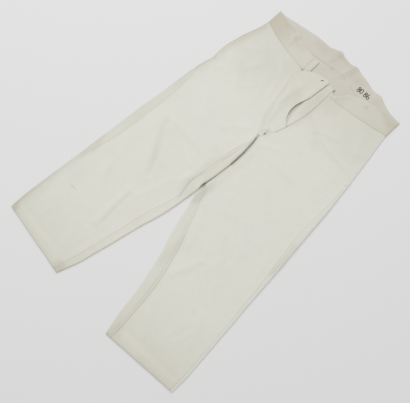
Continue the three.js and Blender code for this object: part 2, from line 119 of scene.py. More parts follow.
# Folds in the upper cloth: both ends, half width and height. A valley's height is that of the slow
# shoulders on both its sides.
mainFolds = [
    (-152, -205, -145, -342, 11, 3.2), (-202, 32, -90, 26, 10, 1.5), (-141, -2, -79, -26, 10, 1.7),
    (-54, 30, -60, -95, 9, 2.2), (124, 307, 262, 289, 8, 1.9), (92, 308, 156, 338, 8, 1.5),
    (64, 152, 158, 155, 12, 1.4), (118, -282, 150, -196, 11, 2.4), (156, -35, 219, -95, 15, 2.4),
    (3, 345, 0, 305, 15, 3.9), (14, 436, 8, 356, 12, 2.6), (51, 428, 41, 285, 9, 2.4),
    (66, 432, 92, 464, 9, 3.2), (-149, 492, -155, 462, 7, 2.6)]
valleys = [
    (-226, 8, -190, -52, 13, 6.5), (-190, -52, -163, -92, 13, 7.5), (-163, -92, -146, -132, 12, 5),
    (-138, -215, -133, -330, 7, 2.5), (150, -165, 172, -190, 8, 2.2), (-40, 380, -30, 330, 7, 1.6),
    (75, -25, 100, -35, 8, 1.6), (188, -105, 205, -150, 9, 2.0), (-120, -395, -135, -455, 10, 1.8),
    (-235, 385, -180, 350, 9, 1.6), (270, -330, 250, -400, 10, 2.0),
    (-290, -60, -300, -150, 9, 1.8)]
smallFolds = [
    (-262, -120, -240, -230, 12, 1.4), (-300, -330, -270, -440, 14, 1.3),
    (-180, -380, -150, -470, 13, 1.3), (-92, -120, -120, -200, 11, 1.3),
    (-220, 180, -170, 110, 14, 1.4), (-120, 330, -100, 250, 13, 1.3),
    (-210, 400, -160, 360, 12, 1.2), (-250, 300, -215, 250, 13, 1.2), (-60, -60, -90, -110, 9, 1.5),
    (-80, 150, -40, 180, 10, 1.7), (-110, 120, -60, 150, 9, 1.3), (-250, -20, -262, -100, 12, 1.1),
    (90, 90, 150, 60, 12, 1.3), (210, 210, 260, 180, 13, 1.3), (40, 60, 70, 0, 10, 1.2),
    (240, 60, 290, 40, 12, 1.2), (180, -180, 240, -230, 14, 1.5), (260, -300, 300, -380, 14, 1.3),
    (150, -400, 190, -460, 13, 1.3), (60, -130, 90, -190, 10, 1.4), (100, 380, 170, 350, 13, 1.3),
    (205, 400, 235, 330, 12, 1.3), (60, 250, 110, 230, 10, 1.3), (20, 170, 60, 190, 9, 1.7),
    (270, -60, 300, -130, 12, 1.2), (-320, -200, -300, -280, 11, 1.0), (-40, 300, -32, 380, 9, 1.2),
    (-20, 230, -30, 290, 8, 1.5), (-245, 345, -205, 372, 9, 1.3), (-192, 300, -165, 345, 9, 1.4),
    (-150, 258, -118, 300, 9, 1.3), (-262, 238, -225, 264, 9, 1.2), (-205, 228, -172, 262, 8, 1.2),
    (-134, 402, -100, 370, 9, 1.2), (-92, 332, -75, 288, 8, 1.2), (-24, 120, -30, 60, 5, 1.6),
    (-22, 40, -28, -20, 5, 1.8), (-34, -30, -30, -95, 5, 1.6), (14, 130, 18, 60, 5, 1.3)]
innerFolds = [
    (-24, 551, -34, 505, 12, 4.5), (45, 547, 30, 500, 10, 3.6), (-24, 505, -32, 470, 9, 1.4),
    (158, 531, 150, 515, 12, 3.0), (90, 536, 70, 520, 14, 1.8), (-120, 534, -110, 515, 15, 1.6)]


def readLine(points, at, byY=False):
    xs = np.array([p[1] if byY else p[0] for p in points], float)
    ys = np.array([p[0] if byY else p[1] for p in points], float)
    return np.interp(at, xs, ys)


def mix(a, b, f):
    return a + (b - a) * f


def bell(distance, wide):
    return np.exp(-(distance / wide) ** 2)


def fade(distance, reach):
    return np.exp(-distance / reach)


def strip(distance, at, wide, high):
    return high * bell(distance - at, wide)


def awayFromLine(x0, y0, x1, y1, x, y):
    dx, dy = x1 - x0, y1 - y0
    f = np.clip(((x - x0) * dx + (y - y0) * dy) / (dx * dx + dy * dy), 0, 1)
    return np.hypot(x - x0 - f * dx, y - y0 - f * dy)


def toScene(x, y, z=0):
    return (x - planOrigin[0]) / 1000, (y - planOrigin[1]) / 1000, z / 1000


def turned(u, v, degrees):
    c, s = math.cos(math.radians(degrees)), math.sin(math.radians(degrees))
    return u * c - v * s, u * s + v * c


def ridgeField(rows, x, y):
    high = np.zeros_like(x)
    for x0, y0, x1, y1, wide, tall in rows:
        high = np.maximum(high, strip(awayFromLine(x0, y0, x1, y1, x, y), 0, wide, tall))
    return high


valleyShape = dict(shoulders=2.6, deep=0.85)


def valleyField(rows, x, y):
    wider = valleyShape["shoulders"]
    shoulders = ridgeField([(*row[:4], wider * row[4], row[5]) for row in rows], x, y)
    cut = ridgeField([(*row[:4], row[4], 1) for row in rows], x, y)
    return shoulders * (1 - valleyShape["deep"] * cut)


# The whole cloth rolls a little, as it does on a floor.
def rollField(x, y):
    a = np.sin(x / 41 + 1.3 * np.sin(y / 88) + 0.4) * np.sin(y / 67 + 0.8 * np.sin(x / 73) + 1.1)
    b = np.sin((x + 0.6 * y) / 29 + 2.0) * np.sin((y - 0.5 * x) / 37)
    return 0.95 * (a + 1) * 0.5 + 0.6 * (b + 1) * 0.5


def nearEdge(distance):
    return bell(distance, cloth["foldReach"])


# Each section of the garment becomes a ring of points, once for the outer and once for the inner
# face. The fourth value of a point is 1 on the upper cloth and -1 beneath.
def readRows(side, leg, hip):
    rows = [dict(zip(legColumns, r), bend=1, closed=True) for r in leg]
    rows += [dict(zip(hipColumns, r), closed=False) for r in hip]
    step = rows[1]["outY"] - rows[0]["outY"]
    hem = []
    for deep in (0, cloth["hemDeep"], cloth["hemDeep"] + cloth["hemStep"]):
        f = deep / step
        row = {k: mix(rows[0][k], rows[1][k], f) for k in legColumns}
        hem.append(dict(row, bend=1, closed=True, thick=cloth["thick"], stack=cloth["stack"]))
    for row in hem[:2]:
        row.update(thick=cloth["hemThick"], stack=cloth["hemStack"])
    rows = hem + [dict(r, thick=cloth["thick"], stack=cloth["stack"]) for r in rows[1:]]
    for row in rows:
        row["crown"] = row["inM"] + row["round"] if row["closed"] else 0
        row["outCrown"] = row["outM"] - row["round"]
        start = ("inM", "inY") if row["closed"] else ("seamM", "seamY")
        row["fromM"], row["fromY"] = row[start[0]], row[start[1]]
    return rows


def onTop(row, m, depth):
    f = np.clip((m - row["fromM"]) / (row["outCrown"] - row["fromM"]), 0, 1)
    y = mix(row["fromY"], row["outY"], f ** row["bend"])
    inner = nearEdge(m - row["crown"]) if row["closed"] else 0 * m
    outer = nearEdge(row["outCrown"] - m)
    z = row["stack"] + (2 * row["round"] - row["stack"]) * np.maximum(inner, outer)
    return np.stack([m, y, z - depth, (1 - inner) * (1 - outer)], -1)


def onArc(centreM, outward, angle, y, row, depth):
    radius = row["round"] - cloth["rest"] / 2 - depth
    z = row["round"] + cloth["rest"] / 2 + radius * np.cos(angle)
    return np.stack([centreM + outward * radius * np.sin(angle), y + 0 * angle, z, 0 * angle], -1)


# A front's points lie close together at the inner fold and by the outseam.
def frontRing(row, depth):
    parts = [np.linspace(0, 0.045, 9)[:-1], np.linspace(0.045, 0.97, 60)[:-1], np.linspace(0.97, 1, 5)]
    m = mix(row["seamM"], row["outM"] - row["side"], np.concatenate(parts))
    ring = onTop(row, m, depth)
    if row["closed"]:
        angle = np.clip((row["crown"] - m) / row["round"], 0, None) * math.pi / 2
        arc = onArc(row["crown"], -1, angle, row["inY"], row, depth)
        ring = np.where((m < row["crown"])[:, None], arc, ring)
    return ring


def backMiddleY(row, rows):
    low, high = backSeam["low"], backSeam["high"]
    return mix(low, high, (row["outY"] - low) / (rows[-1]["outY"] - low))


def loopPoints(row, q, depth):
    a = onTop(row, row["crown"] + np.maximum(q, 0), depth)
    b = onArc(row["crown"], -1, np.maximum(-q, 0) / row["round"], row["inY"], row, depth)
    return np.where((q > 0)[:, None], a, b)


def backRing(row, depth, side, rows):
    inner, flat, arc = ringPoints["backInner"], ringPoints["backFlat"], ringPoints["arc"]
    if row["closed"]:
        start = row["seamM"] - cloth["seamGap"] - row["crown"]
        startArc = start * math.pi / 2 if start < 0 else start
        reach = math.pi * row["round"]
        k = np.arange(inner - 2)
        rounded = -reach * (k - flat) / (inner - flat - 3)
        nominal = np.where(k < flat, startArc * (1 - k / flat), rounded)
        q = np.minimum(nominal, startArc - (reach + startArc) / (inner + 1) * k)
        q[-1] = -reach
        below = startArc + np.array([cloth["tuck"], 0.7])
        tucked = loopPoints(row, below, depth + cloth["tuckDeep"])
        first = np.concatenate([tucked, loopPoints(row, q, depth)])
    else:
        y = backMiddleY(row, rows)
        m = side * readLine(centreBack, y, True) + cloth["seamGap"] / 2
        f = np.arange(inner) * 0.85 / (row["outCrown"] - m)
        x, y = mix(m, row["outCrown"], f), mix(y, row["outY"], f)
        first = np.stack([x, y, 0 * f + depth + cloth["rest"], 0 * f - 1], -1)
    corner = first[-1]
    f = np.linspace(0, 1, ringPoints["backUnder"])[1:]
    edge = np.array([row["outCrown"], row["outY"], depth + cloth["rest"], -1])
    beneath = corner + (edge - corner) * f[:, None]
    angle = math.pi * (1 - np.linspace(0, 1, arc)[1:])
    turn = onArc(row["outCrown"], 1, angle, row["outY"], row, depth)
    end = row["outM"] - row["side"] + cloth["seamGap"]
    m = mix(row["outCrown"], end, np.linspace(0, 1, ringPoints["backTop"])[1:])
    tucked = onTop(row, end - np.array([0.7, cloth["tuck"]]), depth + cloth["tuckDeep"])
    return np.concatenate([first, beneath, turn, onTop(row, m, depth), tucked])


def bandRing(side, rows, up, depth):
    last, lines, r = rows[-1], bandLines[side], cloth["bandRound"]
    outM, gap = last["outM"], cloth["seamGap"]
    crown = outM - r
    m = np.linspace(lines["top"][0][0], crown, ringPoints["bandTop"])
    f = np.clip((m - last["seamM"]) / (crown - last["seamM"]), 0, 1)
    panelTop = mix(last["seamY"], last["outY"], f ** last["bend"]) + gap
    seam = np.where(m < last["seamM"], readLine(lines["seam"], m), panelTop)
    edge = nearEdge(crown - m)
    y = mix(seam, smoothRead(lines["top"], m), up)
    z = cloth["bandStack"] + (2 * r - cloth["bandStack"]) * edge - depth
    top = np.stack([m, y, z, 1 - edge], -1)
    angle = np.linspace(0, math.pi, ringPoints["arc"])[1:]
    yOut = mix(last["outY"] + gap, smoothRead(backTop, side * outM), up)
    turn = onArc(crown, 1, angle, yOut, last | dict(round=r), depth)
    middleY = mix(backSeam["bandLow"], backSeam["bandHigh"], up)
    middleM = side * readLine(centreBack, middleY, True) + gap / 2
    seamM = side * readLine(centreBack, backSeam["bandLow"], True)
    m = mix(crown, middleM, np.linspace(0, 1, ringPoints["bandUnder"])[1:])
    low = mix(last["outY"], backSeam["high"], (crown - m) / (crown - seamM)) + gap
    y = mix(low, smoothRead(backTop, side * m), up)
    beneath = np.stack([m, y, 0 * m + depth + cloth["rest"], 0 * m - 1], -1)
    return np.concatenate([top, turn, beneath])


def flapRing(row, free, last, depth):
    gap, tuck, deep = cloth["seamGap"], cloth["tuck"], cloth["tuckDeep"]
    f = np.linspace(0, 1, ringPoints["flap"])
    x = mix(gap - row["seamM"], free[0], f)
    bump = readLine(flapTop, f) - gap * (1 - f) if last else 0
    y = mix(row["seamY"], free[1], f) + bump
    ring = np.stack([x, y, 0 * x + cloth["stack"] - depth, 1 + 0 * x], -1)
    tucked = ring[0] - np.array([[tuck, 0, deep, 0], [0.7, 0, deep, 0]])
    return np.concatenate([tucked, ring])


def smoothRead(points, at):
    return sum(readLine(points, at + d) for d in (-7, -3.5, 0, 3.5, 7)) / 5


# A smooth surface through the rings, with points about one step apart.
def loft(rings, step):
    rings = np.array(rings)
    count = len(rings)
    gap = [max(1.0, np.linalg.norm(d[:, :2], axis=1).mean()) for d in np.diff(rings, axis=0)]
    slope = np.empty_like(rings)
    slope[0] = (rings[1] - rings[0]) / gap[0]
    slope[-1] = (rings[-1] - rings[-2]) / gap[-1]
    for k in range(1, count - 1):
        before = (rings[k] - rings[k - 1]) / gap[k - 1]
        after = (rings[k + 1] - rings[k]) / gap[k]
        slope[k] = (before * gap[k] + after * gap[k - 1]) / (gap[k] + gap[k - 1])
    out = [rings[:1]]
    for k in range(count - 1):
        n = max(1, round(gap[k] / step))
        t = (np.arange(1, n + 1) / n)[:, None, None]
        a, b, rise = slope[k] * gap[k], slope[k + 1] * gap[k], rings[k + 1] - rings[k]
        curve = (3 * rise - 2 * a - b) * t ** 2 + (a + b - 2 * rise) * t ** 3
        out.append(rings[k] + a * t + curve)
    return np.concatenate(out)


def step01(a, b, x):
    t = np.clip((x - a) / (b - a), 0, 1)
    return t * t * (3 - 2 * t)


# Distances along the surface, from the start of each row or column of points.
def lengths(points, axis):
    d = np.linalg.norm(np.diff(points[..., :3], axis=axis), axis=2)
    start = np.zeros_like(np.take(d, [0], axis=axis))
    return np.concatenate([start, np.cumsum(d, axis=axis)], axis=axis)


# From each row's start and end, and from the bottom and the top of each column.
def measures(outer):
    across, along = lengths(outer, 1), lengths(outer, 0)
    return across, across[:, -1:] - across, along, along[-1:, :] - along


def lap(distance, high, start, end):
    return high * step01(*start, distance) * (1 - step01(*end, distance))


# How strongly each kind of fold shows, and how much of a sunk seam the inner face follows.
foldGain = dict(main=1.25, small=1.5, sunkInside=0.2)


def dress(outer, inner, relief, sunkInside):
    x, y, weight = outer[..., 0], outer[..., 1], outer[..., 3]
    up, low = np.clip(weight, 0, 1), np.clip(-weight, 0, 1)
    folds = foldGain["main"] * ridgeField(mainFolds, x, y) + valleyField(valleys, x, y)
    folds = folds + foldGain["small"] * ridgeField(smallFolds, x, y) + rollField(x, y)
    rise = up * folds + low * ridgeField(innerFolds, x, y)
    outer[..., 2] += rise + relief
    inner[..., 2] += rise + foldGain["sunkInside"] * relief * (relief < 0) + sunkInside
    push = np.clip(cloth["rest"] - np.minimum(outer[..., 2], inner[..., 2]), 0, None)
    outer[..., 2] += push
    inner[..., 2] += push


# Puckers run along a seam. They drift, swell and fade away from it.
puckers = dict(circle=6.283, drift=1.7, driftPace=37, swell=0.4, swellPace=53, reach=11)


def pucker(along, away, size, pace):
    p = puckers
    phase = along / pace * p["circle"] + p["drift"] * np.sin(along / p["driftPace"])
    wave = np.sin(phase) * (1 - p["swell"] + p["swell"] * np.sin(along / p["swellPace"] + 1))
    return size * wave * fade(away, p["reach"])


# Stains and painted shade become values on the points: x, y, radius x, radius y and amount. They lie
# on the upper cloth, or on its inside where the row says so. The first list holds stains and dirt, and
# also painted shade between the legs and along the outer folds; the second holds painted shade only.
inside = True
soilAndShadeSpots = [
    (234, 488, 20, 20, 0.22), (181, 502, 12, 11, 0.45), (244, 470, 9, 22, 0.1), (151, 472, 7, 6, 0.3),
    (-6, 488, 7, 8, 0.45, inside), (-152, 482, 9, 13, 0.24), (-120, 470, 26, 14, 0.14),
    (-195, 500, 30, 9, 0.38), (-244, 492, 12, 26, 0.25), (-272, -322, 14, 4, 0.5),
    (-30, 520, 60, 24, 0.2, inside), (12, 533, 42, 10, 0.25, inside), (60, 520, 40, 16, 0.45, inside),
    (-66, 520, 44, 18, 0.45, inside), (238, -308, 8, 10, 0.2), (130, -500, 24, 26, 0.2),
    (-122, -500, 24, 22, 0.3), (-346, -488, 20, 16, 0.26), (0, 202, 18, 16, 0.3),
    (-26, 20, 26, 80, 0.2), (-34, -80, 20, 40, 0.2), (5, -66, 18, 46, 0.5), (203, 497, 26, 10, 0.25),
    (127, 279, 20, 16, 0.16), (-312, -30, 20, 50, 0.06), (-325, -200, 16, 60, 0.3),
    (-300, -290, 40, 36, 0.12), (280, -470, 90, 50, 0.08), (312, -40, 10, 46, 0.12),
    (-90, -250, 40, 36, 0.08), (70, -240, 16, 60, 0.24), (-150, 320, 70, 70, 0.12),
    (-22, 330, 26, 50, 0.26), (32, 360, 14, 60, 0.2), (-30, 250, 22, 36, 0.18), (80, 400, 30, 40, 0.16),
    (-95, 400, 28, 36, 0.1)]
shadeSpots = [
    (0.5, 440, 9, 8, 0.95, inside), (1, 199, 4, 6.5, 0.95), (-1, 211, 2.5, 7, 0.6),
    (-8, 184, 3, 4, 0.3), (-10, -40, 7, 15, 0.95), (47, 434, 3, 4, 0.6), (-68, 422, 6, 4, 0.5)]

# Dirt and painted shade along creases and folds: both ends, half width and amount. The first list
# holds dirt and stains, and also painted shade along the outer folds; the second holds painted shade
# only.
soilAndShadeLines = [
    (-354, -490, -346, -330, 15, 0.22), (-346, -330, -338, -240, 10, 0.14),
    (-303, 120, -298, 200, 10, 0.22), (-298, 200, -287, 262, 13, 0.45), (-288, 285, -256, 440, 14, 0.3),
    (305, 24, 313, -72, 10, 0.32), (316, -70, 330, -230, 5, 0.06), (-262, 470, -250, 512, 5, 0.8),
    (-36, 538, 40, 541, 9, 0.5, inside), (-205, 300, -150, 240, 12, 0.12), (60, 330, 120, 300, 9, 0.12),
    (196, 320, 260, 350, 10, 0.12), (-60, 60, -46, -90, 10, 0.14)]
shadeLines = [
    (-6, 172, -2, 150, 4.5, 0.9), (-2, 150, 1.5, 118, 5.5, 0.95), (1.5, 118, 2, 62, 5.5, 0.95),
    (1, 60, -4, 0, 4.5, 0.55), (-4, 0, -10, -30, 4.5, 0.6), (-232, 18, -214, -12, 10, 0.1),
    (-214, -12, -190, -55, 13, 0.18), (-190, -55, -170, -92, 13, 0.23),
    (-170, -92, -152, -124, 12, 0.15), (-152, -124, -140, -150, 10, 0.06),
    (-138, -215, -132, -330, 4, 0.08), (-10, 150, -17, 100, 2.2, 0.24), (-17, 100, -27, 50, 2.2, 0.28),
    (-27, 50, -30, -10, 2.6, 0.22), (-38, -15, -46, -60, 2.6, 0.46), (-46, -60, -34, -115, 2.6, 0.42),
    (8, 120, 14, 40, 2.4, 0.1), (-22, 140, -30, 80, 2.2, 0.12), (-66, 420, -63, 352, 2.6, 0.13),
    (-63, 352, -52, 292, 2.6, 0.12), (-52, 292, -31, 236, 2.6, 0.12), (-31, 236, -10, 192, 2.6, 0.14),
    (2, 208, 18, 226, 1.8, 0.3), (18, 226, 31, 261, 2.2, 0.62), (-150, 497, -135, 487, 2, 0.16),
    (-153, 478, -166, 458, 2, 0.16), (-173, 489, -161, 500, 2, 0.12), (-100, 478, -60, 474, 2, 0.08),
    (48, 438, 57, 431, 1.8, 0.5), (57, 431, 68, 434, 1.6, 0.4), (68, 434, 80, 450, 1.6, 0.25),
    (-262, -168, -205, -262, 8, 0.07), (150, -98, 198, -162, 8, 0.07), (95, 303, 130, 328, 2.6, 0.1),
    (130, 328, 153, 330, 2.6, 0.08), (66, 150, 160, 152, 8, 0.05), (134, 298, 168, 293.5, 2.4, 0.12),
    (168, 293.5, 243, 282.5, 2.4, 0.13), (-205, 26, -95, 20, 8, 0.05), (19, 446, 17, 402, 2.2, 0.14),
    (17, 402, 10, 366, 2.2, 0.2), (-222, 503, -194, 483, 1.8, 0.1), (-194, 483, -166, 469, 1.8, 0.14),
    (-166, 469, -148, 477, 1.8, 0.14)]


def lineField(lines, x, y, upper, beneath):
    total = np.zeros_like(x)
    for x0, y0, x1, y1, wide, amount, *isInside in lines:
        away = awayFromLine(x0, y0, x1, y1, x, y)
        value = amount * np.exp(-0.7 * (away / wide) ** 2)
        total = np.maximum(total, value * (beneath if isInside else upper))
    return total


# A spot has an uneven outline and a soft edge.
def spotField(spots, x, y, upper, beneath):
    total = np.zeros_like(x)
    for cx, cy, rx, ry, amount, *isInside in spots:
        u, v = (x - cx) / rx, (y - cy) / ry
        wobble = 1 + 0.22 * np.sin(u * 2.3 + v * 1.7 + cx) * np.cos(v * 2.9)
        value = amount * (1 - step01(0.45, 1.25, np.hypot(u, v) * wobble))
        total = np.maximum(total, value * (beneath if isInside else upper))
    return total


def hemLine(row, m):
    outM, outY, inM, inY = row[:4]
    return outY + (inY - outY) * (outM - m) / (outM - inM)


def hemOf(x):
    return np.where(x < 0, hemLine(rightLeg[0], -x), hemLine(leftLeg[0], x))


def outerFoldOf(x, y):
    right, left = (readLine([row[:2] for row in rows], y, True)
                   for rows in (rightLeg + rightHip, leftLeg + leftHip))
    return np.where(x < 0, right, left)


# Painted light: below the band the left leg's outer fold is made paler, where it turns away from the
# lamp.
foldLight = dict(amount=5, wide=4.8, upTo=445)


def paintedFoldLight(x, y):
    side = np.clip(outerFoldOf(x, y) - x, 0, None)
    return foldLight["amount"] * bell(side, foldLight["wide"]) * (x > 0) * (y < foldLight["upTo"])


# Dirt grows towards the waist, and the colour darkens towards the hems, most at their edge. Painted
# shade darkens the outer folds, the right leg's much more than the left's; a broad faint band inside
# both sides is darker too.
handled = dict(waist=0.42, waistFrom=(200, 445), hem=0.32, hemFrom=(-20, 250), hemEdge=0.36,
               hemReach=10, foldRight=0.24, foldLeft=0.03, foldReach=8, side=0.09, sideReach=40,
               most=0.95)


def soilAndFoldShade(x, y, soiled):
    h, up = handled, y - hemOf(x)
    waist = h["waist"] * step01(*h["waistFrom"], y)
    hem = h["hem"] * (1 - step01(*h["hemFrom"], up))
    hem = hem + h["hemEdge"] * fade(np.clip(up, 0, None), h["hemReach"])
    side = np.clip(outerFoldOf(x, y) - np.abs(x), 0, None)
    fold = np.where(x > 0, h["foldLeft"], h["foldRight"]) * fade(side, h["foldReach"])
    fold = fold + h["side"] * fade(side, h["sideReach"])
    return np.clip(np.maximum(waist, hem) + fold + soiled, 0, h["most"])


def addPiece(name, mesh):
    piece = bpy.data.objects.new(name, mesh)
    bpy.context.scene.collection.objects.link(piece)
    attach(piece, "root")
    return piece


pieces = {}


# Outer face, inner face and the rim round them make one closed shell. Squares in skip are left open.
def clothPiece(name, node, walls, relief, wear, skip=None, shade=0, soiled=0, sunkInside=0):
    outer, inner = walls
    dress(outer, inner, relief, sunkInside)
    rows, columns = outer.shape[:2]
    layer = rows * columns
    verts = np.concatenate([outer[..., :3].reshape(-1, 3), inner[..., :3].reshape(-1, 3)])
    verts = np.stack(toScene(*verts.T), -1)
    j, i = np.meshgrid(np.arange(rows - 1), np.arange(columns - 1), indexing="ij")
    keep = np.ones((rows - 1, columns - 1), bool) if skip is None else ~skip
    a = (j * columns + i)[keep]
    top = np.stack([a, a + 1, a + 1 + columns, a + columns], 1)
    under = np.stack([a, a + columns, a + 1 + columns, a + 1], 1) + layer
    padded = np.zeros((rows + 1, columns + 1), bool)
    padded[1:-1, 1:-1] = keep
    rim = []
    for j in range(rows - 1):
        for i in range(columns - 1):
            if not keep[j, i]:
                continue
            a = j * columns + i
            b, c, d = a + 1, a + 1 + columns, a + columns
            sides = ((padded[j, i + 1], a, b), (padded[j + 1, i + 2], b, c),
                     (padded[j + 2, i + 1], c, d), (padded[j + 1, i], d, a))
            for beside, p, q in sides:
                if not beside:
                    rim.append((q, p, p + layer, q + layer))
    faces = top.tolist() + under.tolist() + rim
    mesh = bpy.data.meshes.new(name)
    mesh.from_pydata(verts.tolist(), [], faces)
    mesh.materials.append(drill)
    mesh.materials.append(drillInsideShaded)
    kinds = np.zeros(len(faces), np.int32)
    kinds[len(top):len(top) + len(under)] = 1
    mesh.polygons.foreach_set("material_index", kinds)
    mesh.polygons.foreach_set("use_smooth", np.ones(len(faces), bool))
    u = lengths(outer, 1)
    u = u - u[:, columns // 2:columns // 2 + 1]
    v = lengths(outer, 0)[:, columns // 2:columns // 2 + 1] + 0 * u
    uv = np.stack([u, v], -1).reshape(-1, 2) / 1000
    loops = np.empty(len(mesh.loops), np.int32)
    mesh.loops.foreach_get("vertex_index", loops)
    layerUv = mesh.uv_layers.new(name="cut")
    layerUv.data.foreach_set("uv", np.concatenate([uv, uv])[loops].ravel())
    x, y, upper = outer[..., 0], outer[..., 1], np.clip(outer[..., 3] + 1, 0, 1)
    values = {"soil": [], "shade": []}
    # Soil holds dirt and stains and also painted shade along the outer folds, creases and between the
    # legs; shade darkens seams, folds and gaps, and is painted shade with some dirt along the inseams.
    for beneath in (0 * upper, 1 - upper):
        soil = soilAndFoldShade(x, y, soiled) * upper + lineField(soilAndShadeLines, x, y, upper, beneath)
        soil = soil + spotField(soilAndShadeSpots, x, y, upper, beneath)
        dark = spotField(shadeSpots, x, y, upper, beneath)
        dark = np.maximum(dark, lineField(shadeLines, x, y, upper, beneath))
        values["soil"].append(np.clip(soil, 0, 1).ravel())
        values["shade"].append(np.maximum(dark, shade).ravel())
    # Worn edges, plus painted light on the left leg's outer fold.
    worn = (np.clip(wear, 0, 1) + paintedFoldLight(x, y)).ravel()
    values["wear"] = [worn, worn]
    for key, both in values.items():
        mesh.attributes.new(key, "FLOAT", "POINT").data.foreach_set("value", np.concatenate(both))
    bm = bmesh.new()
    bm.from_mesh(mesh)
    bmesh.ops.delete(bm, geom=[v for v in bm.verts if not v.link_faces], context="VERTS")
    if bm.calc_volume(signed=True) < 0:
        bmesh.ops.reverse_faces(bm, faces=bm.faces)
    bm.to_mesh(mesh)
    bm.free()
    piece = addPiece(name, mesh)
    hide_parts(node)
    area = sum(p.area for p in mesh.polygons if p.material_index == 0)
    flat = np.ptp(uv, axis=0)
    print(f"{name}: {len(faces)} faces, {area:.3f} m2 of cloth, flat {flat[0]:.3f} x {flat[1]:.3f} m")
    pieces[name] = piece
    return outer


def newMaterial(name, rough):
    m = bpy.data.materials.new(name)
    m.use_nodes = True
    shader = m.node_tree.nodes["Principled BSDF"]
    shader.inputs["Roughness"].default_value = rough
    return m, m.node_tree, shader, m.node_tree.nodes.new("ShaderNodeTexCoord").outputs


# A node with its settings and inputs: a number or a colour is set, another node's output is linked.
def addNode(tree, kind, output, inputs, **settings):
    n = tree.nodes.new("ShaderNode" + kind)
    for key, value in settings.items():
        setattr(n, key, value)
    for key, value in inputs.items():
        if isinstance(value, bpy.types.NodeSocket):
            tree.links.new(value, n.inputs[key])
        else:
            n.inputs[key].default_value = value
    return n.outputs[output]


def blend(tree, kind, fac, a, b):
    inputs = dict(Factor=fac, A=a, B=b)
    return addNode(tree, "Mix", "Result", inputs, data_type="RGBA", blend_type=kind)


def drillMaterial(name, look):
    m, t, shader, place = newMaterial(name, 0.93)
    shader.inputs["Specular IOR Level"].default_value = 0.18
    shader.inputs["Sheen Weight"].default_value = look["sheen"]
    shader.inputs["Sheen Roughness"].default_value = 0.5

    def noise(scale, detail, source="Object"):
        inputs = dict(Scale=scale, Detail=detail, Vector=place[source])
        return addNode(t, "TexNoise", "Fac", inputs)

    def patches(scale, detail, low, high):
        inputs = {"From Min": low, "From Max": high, "Value": noise(scale, detail)}
        return addNode(t, "MapRange", "Result", inputs)

    def attribute(key):
        return addNode(t, "Attribute", "Fac", {}, attribute_name=key)

    def scaled(fac, size):
        return addNode(t, "Math", "Value", {0: fac, 1: size}, operation="MULTIPLY")

    colour = blend(t, "MIX", patches(7, 3, 0.36, 0.64), look["warm"], look["cool"])
    colour = blend(t, "MIX", scaled(patches(21, 4, 0.5, 0.75), 0.35), colour, look["pale"])
    grime = scaled(patches(60, 6, 0.45, 0.8), look["grime"])
    colour = blend(t, "MULTIPLY", grime, colour, look["grimeTint"])
    colour = blend(t, "MIX", attribute("soil"), colour, look["tan"])  # dirt, stains and painted fold shade
    colour = blend(t, "MIX", scaled(attribute("wear"), 0.16), colour, look["worn"])  # worn edges and painted fold light
    colour = blend(t, "MULTIPLY", attribute("shade"), colour, look["deep"])  # painted shade in seams, folds and gaps
    # Twill: slanting ribs 0.9 mm apart, broken by uneven yarn.
    slant = {"Rotation": (0, 0, math.radians(look["slant"])), "Vector": place["UV"]}
    along = addNode(t, "Mapping", "Vector", slant)
    twill = {"Scale": look["ribs"], "Distortion": 1.2, "Detail": 2, "Detail Scale": 1.5,
             "Vector": along}
    rib = addNode(t, "TexWave", "Fac", twill)
    colour = blend(t, "MULTIPLY", scaled(rib, 0.16), colour, look["ribTint"])
    t.links.new(colour, shader.inputs["Base Color"])
    slub, crumple = noise(900, 3, "UV"), noise(95, 5)
    relief = {}
    for fac, size in ((rib, look["ribDeep"]), (slub, look["slub"]), (crumple, look["crumple"])):
        bump = addNode(t, "Bump", "Normal", dict(relief, Strength=1.0, Distance=size, Height=fac))
        relief = dict(Normal=bump)
    t.links.new(relief["Normal"], shader.inputs["Normal"])
    return m


def plainMaterial(name, colour, rough, speckle, size=400):
    m, t, shader, place = newMaterial(name, rough)
    grain = addNode(t, "TexNoise", "Fac", dict(Scale=size, Detail=4, Vector=place["Object"]))
    darker = (*(c * (1 - speckle) for c in colour), 1)
    t.links.new(blend(t, "MIX", grain, (*colour, 1), darker), shader.inputs["Base Color"])
    return m


drillLook = dict(warm=(0.75, 0.742, 0.495, 1), cool=(0.685, 0.73, 0.50, 1),
                 pale=(0.80, 0.80, 0.59, 1), tan=(0.30, 0.274, 0.163, 1), worn=(0.82, 0.80, 0.74, 1),
                 deep=(0.16, 0.15, 0.11, 1), grime=0.3, grimeTint=(0.78, 0.75, 0.68, 1),
                 ribs=350, slant=32, ribTint=(0.86, 0.85, 0.8, 1), ribDeep=0.00012, slub=0.00008,
                 crumple=0.0009, sheen=0.12)
# The inside faces are a darker copy of the drill: painted shade for the cloth seen inside the garment.
insideShadedLook = dict(drillLook, warm=(0.425, 0.381, 0.262, 1), cool=(0.405, 0.38, 0.268, 1),
                  pale=(0.46, 0.42, 0.31, 1), slant=-32, grime=0.4)
drill = drillMaterial("cottonDrill", drillLook)
drillInsideShaded = drillMaterial("cottonDrillInside", insideShadedLook)
thread = plainMaterial("sewingThread", (0.60, 0.57, 0.48), 0.8, 0.35)
tackThread = plainMaterial("tackThread", (0.23, 0.21, 0.22), 0.85, 0.5)
ink = plainMaterial("markingInk", (0.018, 0.017, 0.017), 0.75, 0.4, 900)
print("materials made")

rightRows, leftRows = readRows(-1, rightLeg, rightHip), readRows(1, leftLeg, leftHip)


def toPlan(points, side):
    points[..., 0] *= side
    return points


